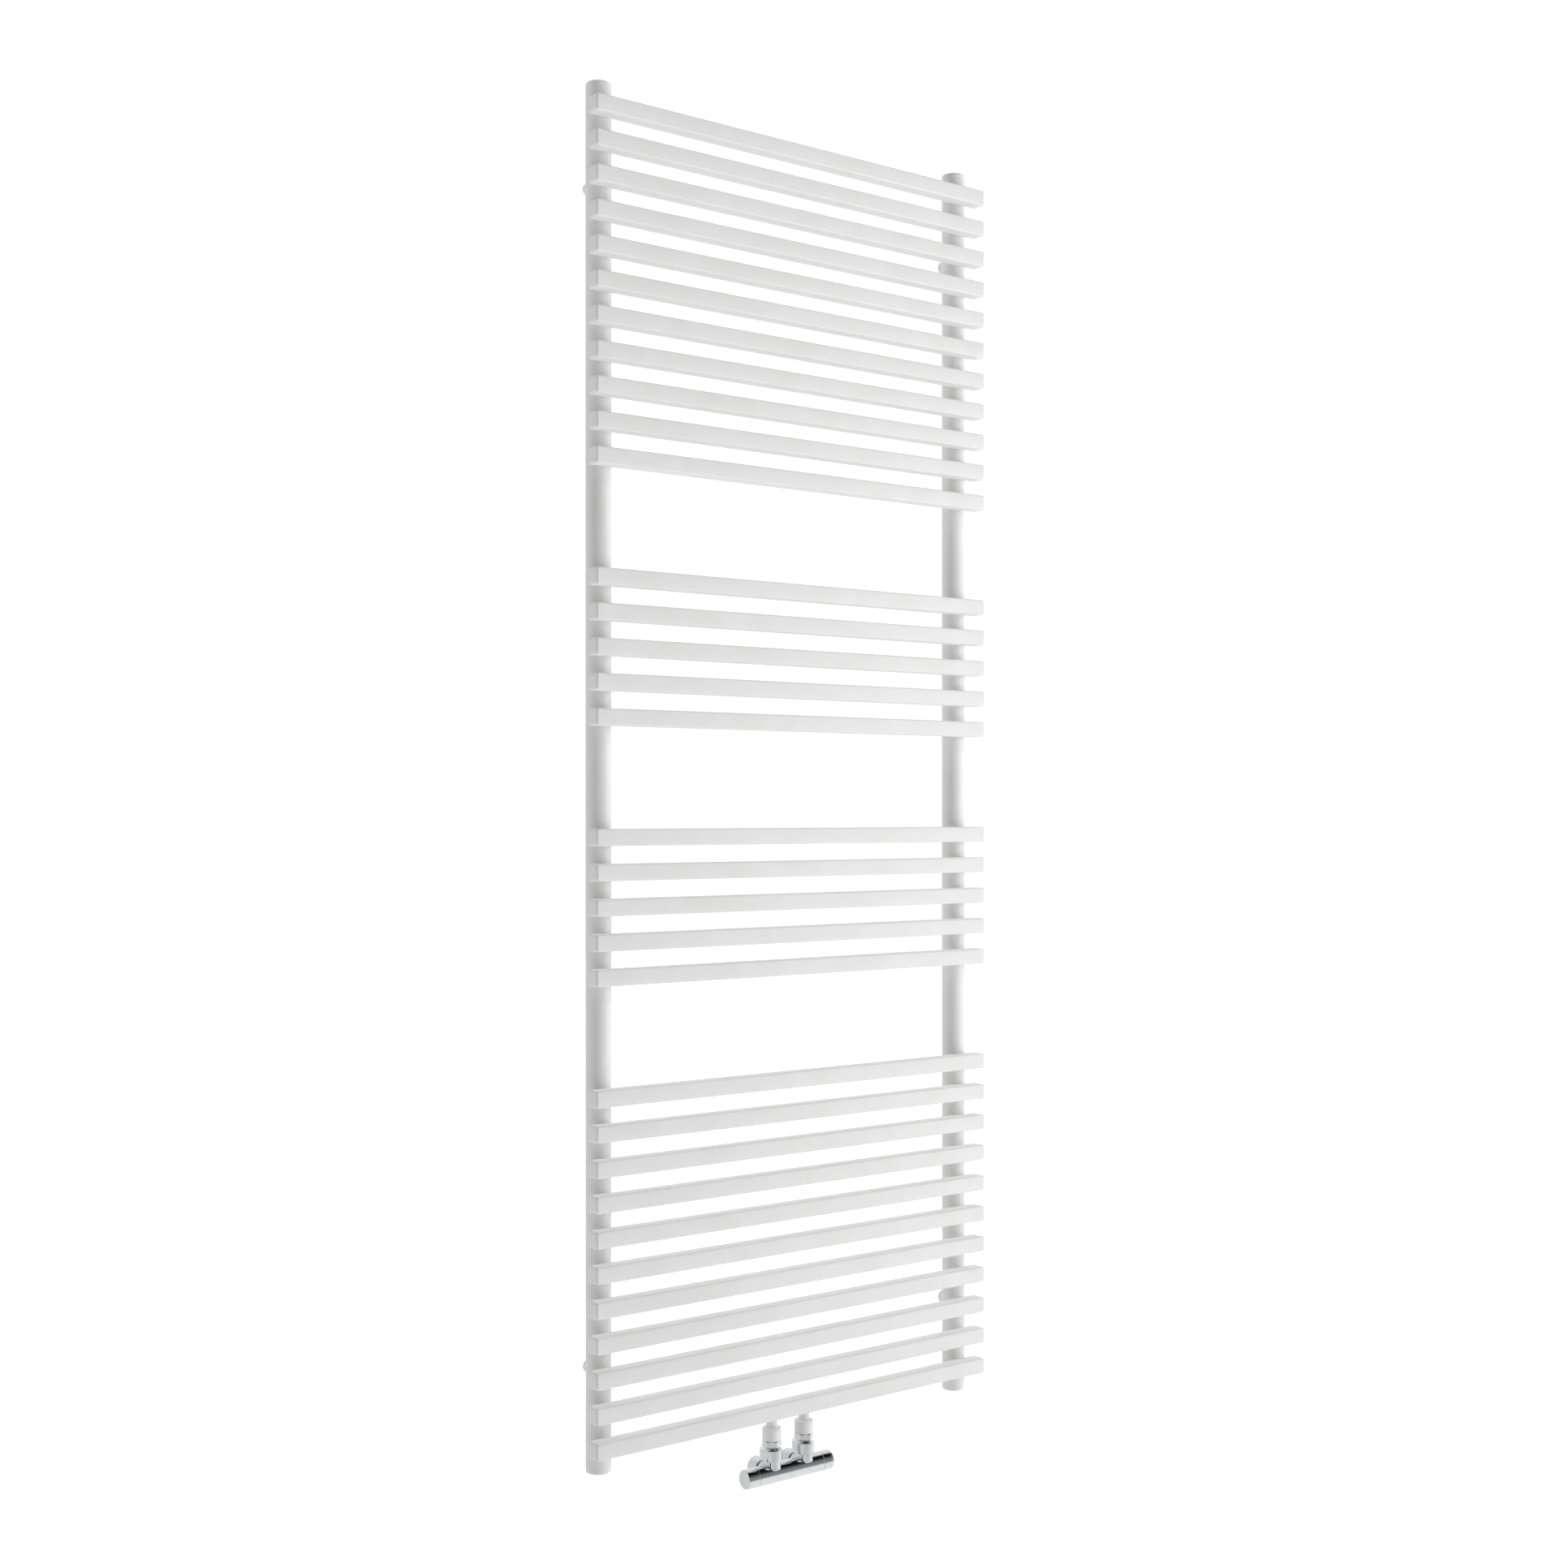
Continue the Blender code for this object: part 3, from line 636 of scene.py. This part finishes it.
def saddle_weld(name, radius, turn, origin):
    """A concave fillet where a round stub stands on a collector, at the rear or turned about Z from there."""
    body = bmesh.new()
    rings = []
    for step in range(SADDLE_STEPS + 1):
        share = step / SADDLE_STEPS
        quarter = math.radians(90.0 * share)
        ring_radius = radius + STUB_WELD_WIDTH * (1.0 - math.sin(quarter))
        lift = STUB_WELD_WIDTH * (1.0 - math.cos(quarter))
        sink = SADDLE_SINK if step == 0 else 0.0
        ring = []
        for k in range(SADDLE_SIDES):
            angle = 2.0 * math.pi * k / SADDLE_SIDES
            a, b = ring_radius * math.cos(angle), ring_radius * math.sin(angle)
            depth = math.sqrt(COLLECTOR_RADIUS ** 2 - min(a * a, SADDLE_REACH_SQUARED)) + lift - sink
            ripple = SADDLE_RIPPLE * math.sin(SADDLE_RIPPLE_WAVES * angle) * math.sin(math.pi * share)
            ring.append(body.verts.new((a, depth + ripple, b)))
        rings.append(ring)
    inner = [body.verts.new((v.co.x * 0.9, v.co.y - 0.0006, v.co.z * 0.9)) for v in rings[-1]]
    weld_rings(body, rings + [inner, rings[0]], caps=False)
    body.transform(Matrix.Translation(Vector(origin)) @ Matrix.Rotation(math.radians(turn), 4, "Z"))
    return to_mesh(name, body, angle=60.0)


def boss_mesh(name, centre, radius, rear):
    """A threaded stub for a wall bracket."""
    crest, root = BOSS_BORE + 0.0001, BOSS_BORE + BOSS_THREAD_DEPTH
    outline = rounded([(radius, BOSS_FOOT), (radius, rear), (root, rear)], (0, 0.0007, 0), 4)
    depth = rear - 0.0003
    while depth > BOSS_HOLE_END + 0.0012:
        outline += [(crest, depth), (crest, depth - 0.0002), (root, depth - 0.0005)]
        depth -= BOSS_THREAD_PITCH
    outline += [(BOSS_BORE, BOSS_HOLE_END + 0.0006), (0.0, BOSS_HOLE_END)]
    return lathe(name, outline, (0, 1, 0), centre, sides=64)


for side, name in SIDES:
    link("collector_skin_" + name, collector_mesh(side, name), ENAMEL,
         replaces=("collector_" + name, "collector_cap_top_" + name, "collector_cap_bottom_" + name))
    link("bar_welds_" + name, bar_welds(side, name), ENAMEL)
    for end in ("top_", "bottom_"):
        low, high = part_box("bracket_boss_" + end + name)
        centre, radius = (side * COLLECTOR_X, 0.0, (low.z + high.z) / 2), (high.z - low.z) / 2
        mesh = boss_mesh("boss_" + end + name, centre, radius, high.y)
        link("boss_" + end + name, mesh, ENAMEL, replaces=("bracket_boss_" + end + name,))
        link("boss_weld_" + end + name, saddle_weld("boss_weld_" + end + name, radius, 0.0, centre), ENAMEL)


# ---------------------------------------------------------------- feed tubes and sockets
FEED_SIDES = 48
FEED_STRAIGHT_STEPS = 12
FEED_BEND_STEPS = 24


def feed_mesh(side, name):
    """A bent tube from the collector, behind the lowest bar, down into its socket."""
    body = bmesh.new()
    rearward = Vector((0, 1, 0))
    start = COLLECTOR_X - COLLECTOR_RADIUS + 0.0015
    bend_x = CONNECTION_X + FEED_BEND
    centre = Vector((side * bend_x, 0.0, FEED_Z - FEED_BEND))
    path = [(Vector((side * (start + (bend_x - start) * step / FEED_STRAIGHT_STEPS), 0.0, FEED_Z)),
             Vector((-side, 0, 0))) for step in range(FEED_STRAIGHT_STEPS)]
    for step in range(FEED_BEND_STEPS + 1):
        turn = math.radians(90.0 * step / FEED_BEND_STEPS)
        path.append((centre + FEED_BEND * Vector((-side * math.sin(turn), 0.0, math.cos(turn))),
                     Vector((-side * math.cos(turn), 0.0, -math.sin(turn)))))
    path.append((Vector((side * CONNECTION_X, 0.0, SOCKET_TOP - 0.0030)), Vector((0, 0, -1))))
    rings = []
    for place, ahead in path:
        across = ahead.cross(rearward).normalized()
        angles = [2.0 * math.pi * k / FEED_SIDES for k in range(FEED_SIDES)]
        rings.append([body.verts.new(place + FEED_RADIUS * (across * math.cos(angle) + rearward * math.sin(angle)))
                      for angle in angles])
    weld_rings(body, rings)
    return to_mesh("feed_" + name, body, angle=50.0)


def socket_mesh(side, name):
    """A painted socket, with the bead that welds it to its tube and a threaded mouth below."""
    bead = ((-0.0006, 0.0016), (0.00005, 0.0016), (0.0002, 0.0010), (0.0006, 0.0004), (0.0013, 0.0))
    outline = [(FEED_RADIUS + out, SOCKET_TOP + up) for out, up in bead]
    groove = SOCKET_TOP - 0.0024
    corners = [outline[-1], (SOCKET_RADIUS, SOCKET_TOP), (SOCKET_RADIUS, groove),
               (SOCKET_RADIUS - 0.00035, groove - 0.0004), (SOCKET_RADIUS, groove - 0.0008),
               (SOCKET_RADIUS, SOCKET_BOTTOM), (SOCKET_THREAD_ROOT - 0.0001, SOCKET_BOTTOM)]
    outline += rounded(corners, (0, 0.0010, 0.0002, 0.0002, 0.0002, 0.0004, 0), 5)[1:]
    height = SOCKET_BOTTOM + 0.0004
    while height < SOCKET_TOP - 0.0070:
        outline += [(SOCKET_THREAD_CREST, height), (SOCKET_THREAD_CREST, height + 0.0002),
                    (SOCKET_THREAD_ROOT, height + 0.0006)]
        height += SOCKET_THREAD_PITCH
    outline += [(SOCKET_THREAD_CREST, SOCKET_TOP - 0.0052), (SOCKET_BORE, SOCKET_TOP - 0.0050),
                (SOCKET_BORE, SOCKET_TOP - 0.0034)]
    return lathe("socket_" + name, outline, (0, 0, 1), (side * CONNECTION_X, 0.0, 0.0))


# ---------------------------------------------------------------- union nuts
def nut_field(x, y, z, turned_by):
    """A hexagon nut with 30 degree chamfers, about its own axis."""
    flats = NUT_FLATS / 2
    across = length(x, y)
    made = None
    for step in range(3):
        turn = turned_by + math.radians(30.0 + 60.0 * step)
        face = np.abs(x * math.cos(turn) + y * math.sin(turn)) - flats
        made = face if made is None else blend_meet(made, face, 0.0005)
    ends = np.abs(z - (NUT_TOP + NUT_BOTTOM) / 2) - (NUT_TOP - NUT_BOTTOM) / 2
    chamfer = (across - (flats - 0.0003)) * 0.5 + ends * 0.866
    made = blend_meet(made, ends, 0.0003)
    made = blend_meet(made, chamfer, 0.0002)
    thread = np.maximum(across - NUT_THREAD_RADIUS, z - (NUT_BOTTOM + NUT_THREAD_DEPTH))
    made = blend_cut(made, thread, 0.0002)
    return blend_cut(made, across - NUT_BORE, 0.0002)


def nut_mesh(side, name):
    reach = NUT_FLATS / math.sqrt(3.0) + FIELD_MARGIN
    low = (-reach, -reach, NUT_BOTTOM - FIELD_MARGIN)
    high = (reach, reach, NUT_TOP + FIELD_MARGIN)
    mesh = field_mesh("nut_" + name, lambda x, y, z: nut_field(x, y, z, NUT_TURNS[name]), low, high, NUT_CELL)
    mesh.transform(Matrix.Translation((side * CONNECTION_X, 0.0, 0.0)))
    return mesh


# ---------------------------------------------------------------- valve body, knobs and pipe nuts
def tongue_field(x, y, z):
    """The tongue in front of a block, its lower end rounded across its width."""
    plan = stadium_field(x, y, TONGUE_FRONT, BLOCK_REAR, TONGUE_RADIUS)
    tongue = slab_field(plan, z, TONGUE_BOTTOM, TONGUE_TOP, 0.0006)
    out = np.maximum(np.abs(x) - (TONGUE_RADIUS - TONGUE_ROUNDING), 0.0)
    down = np.maximum(TONGUE_BOTTOM + TONGUE_ROUNDING - z, 0.0)
    return blend_cut(tongue, TONGUE_ROUNDING - length(out, down), 0.0008)


def shoulder_field(x, y, z):
    """The cone from a block's top up to its neck."""
    share = np.clip((z - BLOCK_TOP) / (NECK_TOP - BLOCK_TOP), 0.0, 1.0)
    cone = (length(x, y) - (SHOULDER_RADIUS - SHOULDER_TAPER * share)) * SHOULDER_SLANT
    return blend_cut(np.maximum(cone, SHOULDER_BOTTOM - z), NECK_TOP - z, 0.0003)


def body_field(x, y, z):
    """The cast valve body: barrel, blocks with a tongue in front, necks and rear branches, and its bores."""
    z = z - AXIS_Z
    lift = BRANCH_Z - AXIS_Z
    barrel = cylinder_field(length(y, z), x, VALVE_RADIUS, BODY_END, 0.0004)
    x = np.abs(x) - CONNECTION_X
    plan = stadium_field(x, y, BLOCK_FRONT, BLOCK_REAR, BLOCK_RADIUS)
    block = blend_cut(slab_field(plan, z, BLOCK_BOTTOM, BLOCK_TOP, 0.0006), z - STEP_Z, 0.0002)
    made = blend_union(barrel, block, 0.0004)
    made = blend_union(made, shoulder_field(x, y, z), 0.0005)
    upright, rearward = length(x, y), length(x, z - lift)
    branch = cylinder_field(rearward, y - BRANCH_FRONT, BRANCH_RADIUS, BRANCH_END - BRANCH_FRONT, 0.0004)
    made = blend_union(made, branch, 0.0012)
    made = blend_union(made, tongue_field(x, y, z), 0.0004)
    # Waterways up and back, the union's seat, the pipe's seat, and the chamber behind each knob.
    bores = (cylinder_field(upright, z - 0.020, WATERWAY_RADIUS, 0.020, 0.0001),
             cylinder_field(upright, z - 0.032, SEAT_RADIUS, 0.0048, 0.0001),
             cylinder_field(rearward, y - 0.010, WATERWAY_RADIUS, 0.010, 0.0001),
             cylinder_field(rearward, y - 0.016, PIPE_BORE, 0.005, 0.0001),
             cylinder_field(length(y, z), x + CONNECTION_X - 0.038, CHAMBER_RADIUS, 0.025, 0.0002))
    for bore in bores:
        made = blend_cut(made, bore, 0.0003)
    return made


def body_mesh():
    low = (-BODY_END - BODY_MARGIN, body_low.y - BODY_MARGIN, body_low.z - BODY_MARGIN)
    high = (BODY_END + BODY_MARGIN, body_high.y + BODY_MARGIN, body_high.z + BODY_MARGIN)
    return field_mesh("chrome_valve_body", body_field, low, high, BODY_CELL)


def knob_mesh(side, name, knob_end):
    """A plain round knob, rounded at its outer rim, hollow behind."""
    outline = [(0.0, knob_end - KNOB_FACE), (KNOB_BORE, knob_end - KNOB_FACE), (KNOB_BORE, KNOB_NEAR),
               (VALVE_RADIUS, KNOB_NEAR), (VALVE_RADIUS, knob_end), (0.0, knob_end)]
    outline = rounded(outline, (0, 0.0005, 0.0003, 0.0004, KNOB_ROUNDING, 0), 7)
    return lathe(name, outline, (side, 0, 0), (0.0, 0.0, AXIS_Z), sides=128)


def pipe_nut_mesh(side, name):
    """A round compression nut that takes a supply pipe from the wall."""
    lip, step = PIPE_BORE - 0.0010, PIPE_NUT_FRONT + 0.0020
    outline = [(lip, step), (lip, PIPE_NUT_FRONT), (PIPE_NUT_RADIUS, PIPE_NUT_FRONT),
               (PIPE_NUT_RADIUS, PIPE_NUT_END), (PIPE_BORE + 0.0006, PIPE_NUT_END),
               (PIPE_BORE, PIPE_NUT_END - 0.0006), (PIPE_BORE, step)]
    outline = closed_outline(rounded(outline, (0, 0.0003, 0.0008, 0.0009, 0.0002, 0.0002, 0), 5))
    return lathe("chrome_pipe_nut_" + name, outline, (0, 1, 0), (side * CONNECTION_X, 0.0, BRANCH_Z))


link("chrome_valve_body", body_mesh(), CHROME, replaces=("valve_body",))
for side, name in SIDES:
    link("feed_" + name, feed_mesh(side, name), ENAMEL, replaces=("feed_tube_" + name,))
    # The feed leaves each collector toward the middle, a quarter turn from the rear.
    weld = saddle_weld("feed_weld_" + name, FEED_RADIUS, side * 90.0, (side * COLLECTOR_X, 0.0, FEED_Z))
    link("feed_weld_" + name, weld, ENAMEL)
    link("socket_" + name, socket_mesh(side, name), ENAMEL, replaces=("connection_socket_" + name,))
    link("nut_" + name, nut_mesh(side, name), CHROME, replaces=("union_nut_" + name,))
    link("chrome_pipe_nut_" + name, pipe_nut_mesh(side, name), CHROME, replaces=("pipe_nut_" + name,))
for side, name, knob_end in ((-1, "flow_knob", FLOW_KNOB_END), (1, "lockshield_knob", LOCKSHIELD_KNOB_END)):
    link("chrome_" + name, knob_mesh(side, "chrome_" + name, knob_end), CHROME, body=name, replaces=(name,))


# ---------------------------------------------------------------- air vent
VENT_RADIUS = 0.0055
VENT_NECK = 0.0037
VENT_SCREW_HOLE = 0.0026
VENT_HOLE = 0.0018
VENT_FOOT = 0.0138
VENT_HEAD = 0.0154
VENT_SEAT = 0.0165


def vent_body_mesh():
    """A round vent body screwed into the back of the collector, with a recess for its screw."""
    low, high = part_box("air_vent_body")
    outline = [(VENT_HOLE, VENT_SEAT), (VENT_HOLE, VENT_FOOT), (VENT_NECK, VENT_FOOT), (VENT_NECK, VENT_HEAD),
               (VENT_RADIUS, VENT_HEAD), (VENT_RADIUS, high.y), (VENT_SCREW_HOLE, high.y),
               (VENT_SCREW_HOLE, VENT_SEAT)]
    outline = closed_outline(rounded(outline, (0, 0, 0, 0, 0.0002, 0.0006, 0.0002, 0), 4))
    centre = ((low.x + high.x) / 2, 0.0, (low.z + high.z) / 2)
    return lathe("chrome_vent", outline, (0, 1, 0), centre, sides=72)


link("chrome_vent", vent_body_mesh(), CHROME, replaces=("air_vent_body",))


# ---------------------------------------------------------------- CAD nodes that stay as they are
for material, names in ((BRASS_UPRIGHT, ("union_tail_left", "union_tail_right")),
                        (BRASS_LEVEL, ("flow_insert", "lockshield_spindle")),
                        (STEEL_LEVEL, ("flow_pin",)),
                        (STEEL_VENT, ("air_vent_screw",))):
    for name in names:
        nodes[name].data.materials.clear()
        nodes[name].data.materials.append(material)


# ---------------------------------------------------------------- camera, fitted to the ends of all 32 bars
CAMERA_PLACE = (-1.5288, -1.9739, 0.8236)
CAMERA_TURN = -37.65
CAMERA_LENS = 46.38
CAMERA_SHIFT = 0.0181


def make_camera():
    data = bpy.data.cameras.new("camera")
    data.sensor_width = 36.0
    data.lens = CAMERA_LENS
    data.shift_y = CAMERA_SHIFT
    made = bpy.data.objects.new("camera", data)
    made.location = CAMERA_PLACE
    made.rotation_euler = (math.radians(90.0), 0.0, math.radians(CAMERA_TURN))
    bpy.context.scene.collection.objects.link(made)
    bpy.context.scene.camera = made


# ---------------------------------------------------------------- stage and light
FLOOR_RADIUS = 9.0
FLOOR_DROP = 0.0002
FLOOR_GLOW = 0.78
BACKDROP = 1.05
FLOOR_LIGHT = 1.05
FRONT_LIGHT = 0.31
BACK_LIGHT = 0.92
EDGE_LIGHT = 0.40
DARK_LIGHT = 0.006
LEFT_SHARE = 0.84
RIGHT_SHARE = 1.06
RIGHT_LIGHT = 1.20
# Diffuse rays see the studio with softer contrast than reflections do.
DIFFUSE_GAIN = 0.91
DIFFUSE_FILL = 0.24
# The studio's brightness round the X axis: -90 is straight down, 0 level to the front, 90 up and 180 to the back.
STUDIO = ((-180, FLOOR_LIGHT), (-30, FLOOR_LIGHT), (-19, FLOOR_LIGHT * 0.83), (-11, EDGE_LIGHT),
          (-4, FRONT_LIGHT), (18, FRONT_LIGHT * 0.85), (38, FRONT_LIGHT * 0.3), (50, 0.02), (60, DARK_LIGHT),
          (81, DARK_LIGHT), (91, BACK_LIGHT * 0.5), (101, BACK_LIGHT), (180, FLOOR_LIGHT))
# Where the studio goes from its left share to its right share, and then to its bright right wall, in X.
LEFT_TO_RIGHT = (-0.45, 0.25)
RIGHT_WALL = (0.64, 0.88)


def make_floor():
    """A glowing floor that only the camera sees, so that the ground is as white as the backdrop."""
    body = bmesh.new()
    bmesh.ops.create_circle(body, cap_ends=True, segments=96, radius=FLOOR_RADIUS)
    mesh = bpy.data.meshes.new("floor")
    body.to_mesh(mesh)
    body.free()
    made = bpy.data.materials.new("pale_floor")
    made.use_nodes = True
    shader = made.node_tree.nodes["Principled BSDF"]
    shader.inputs["Base Color"].default_value = (0.90, 0.90, 0.90, 1.0)
    shader.inputs["Roughness"].default_value = 0.9
    shader.inputs["Specular IOR Level"].default_value = 0.0
    shader.inputs["Emission Color"].default_value = (1.0, 1.0, 1.0, 1.0)
    shader.inputs["Emission Strength"].default_value = FLOOR_GLOW
    mesh.materials.append(made)
    floor = bpy.data.objects.new("floor", mesh)
    floor.location = (0.0, 0.0, -FLOOR_DROP)
    floor.visible_diffuse = False
    floor.visible_glossy = False
    bpy.context.scene.collection.objects.link(floor)


def area_light(name, place, target, size, power):
    """A rectangle of light that neither the camera nor the chrome sees."""
    data = bpy.data.lights.new(name, "AREA")
    data.shape = "RECTANGLE"
    data.size, data.size_y = size
    data.energy = power
    made = bpy.data.objects.new(name, data)
    made.location = place
    aim = Vector(target) - Vector(place)
    made.rotation_euler = aim.to_track_quat("-Z", "Y").to_euler()
    made.visible_camera = False
    made.visible_glossy = False
    bpy.context.scene.collection.objects.link(made)


def make_world():
    """White to the eye. As a light it is a studio: white floor and back wall, dim front, black ceiling in front."""
    world = bpy.data.worlds.new("studio")
    bpy.context.scene.world = world
    world.use_nodes = True
    tree = world.node_tree
    tree.nodes.clear()
    output = add(tree, "ShaderNodeOutputWorld")
    path = add(tree, "ShaderNodeLightPath").outputs
    split = add(tree, "ShaderNodeSeparateXYZ")
    tree.links.new(add(tree, "ShaderNodeTexCoord").outputs["Generated"], split.inputs[0])
    forward = math_node(tree, "MULTIPLY", split.outputs["Y"], -1.0)
    climb = math_node(tree, "ARCTAN2", split.outputs["Z"], forward)
    turn = remap(tree, climb, span=(-math.pi, math.pi), to=(0.0, 1.0))
    level = ramp(tree, turn, [((angle + 180.0) / 360.0, (value,) * 3) for angle, value in STUDIO])
    sideways = remap(tree, split.outputs["X"], span=LEFT_TO_RIGHT, to=(LEFT_SHARE, RIGHT_SHARE))
    shaded = math_node(tree, "MULTIPLY", level, sideways)
    right = remap(tree, split.outputs["X"], span=RIGHT_WALL, to=(0.0, 1.0))
    walled = mix_values(tree, right, shaded, RIGHT_LIGHT)
    filled = math_node(tree, "MULTIPLY_ADD", walled, DIFFUSE_GAIN)
    filled.node.inputs[2].default_value = DIFFUSE_FILL
    studio = add(tree, "ShaderNodeBackground")
    tree.links.new(mix_values(tree, path["Is Glossy Ray"], filled, walled), studio.inputs["Strength"])
    white = add(tree, "ShaderNodeBackground", Color=(1.0, 1.0, 1.0, 1.0), Strength=BACKDROP)
    mix = add(tree, "ShaderNodeMixShader")
    tree.links.new(path["Is Camera Ray"], mix.inputs["Fac"])
    tree.links.new(studio.outputs[0], mix.inputs[1])
    tree.links.new(white.outputs[0], mix.inputs[2])
    tree.links.new(mix.outputs[0], output.inputs["Surface"])


make_camera()
make_floor()
make_world()
area_light("key_right", place=(1.7, -1.7, 0.6), target=(0.0, 0.0, 0.65), size=(0.9, 2.4), power=32.0)
area_light("key_top", place=(3.0, -3.4, 4.5), target=(0.0, 0.0, 0.6), size=(1.5, 1.5), power=54.0)
bpy.context.scene.view_settings.view_transform = "Standard"
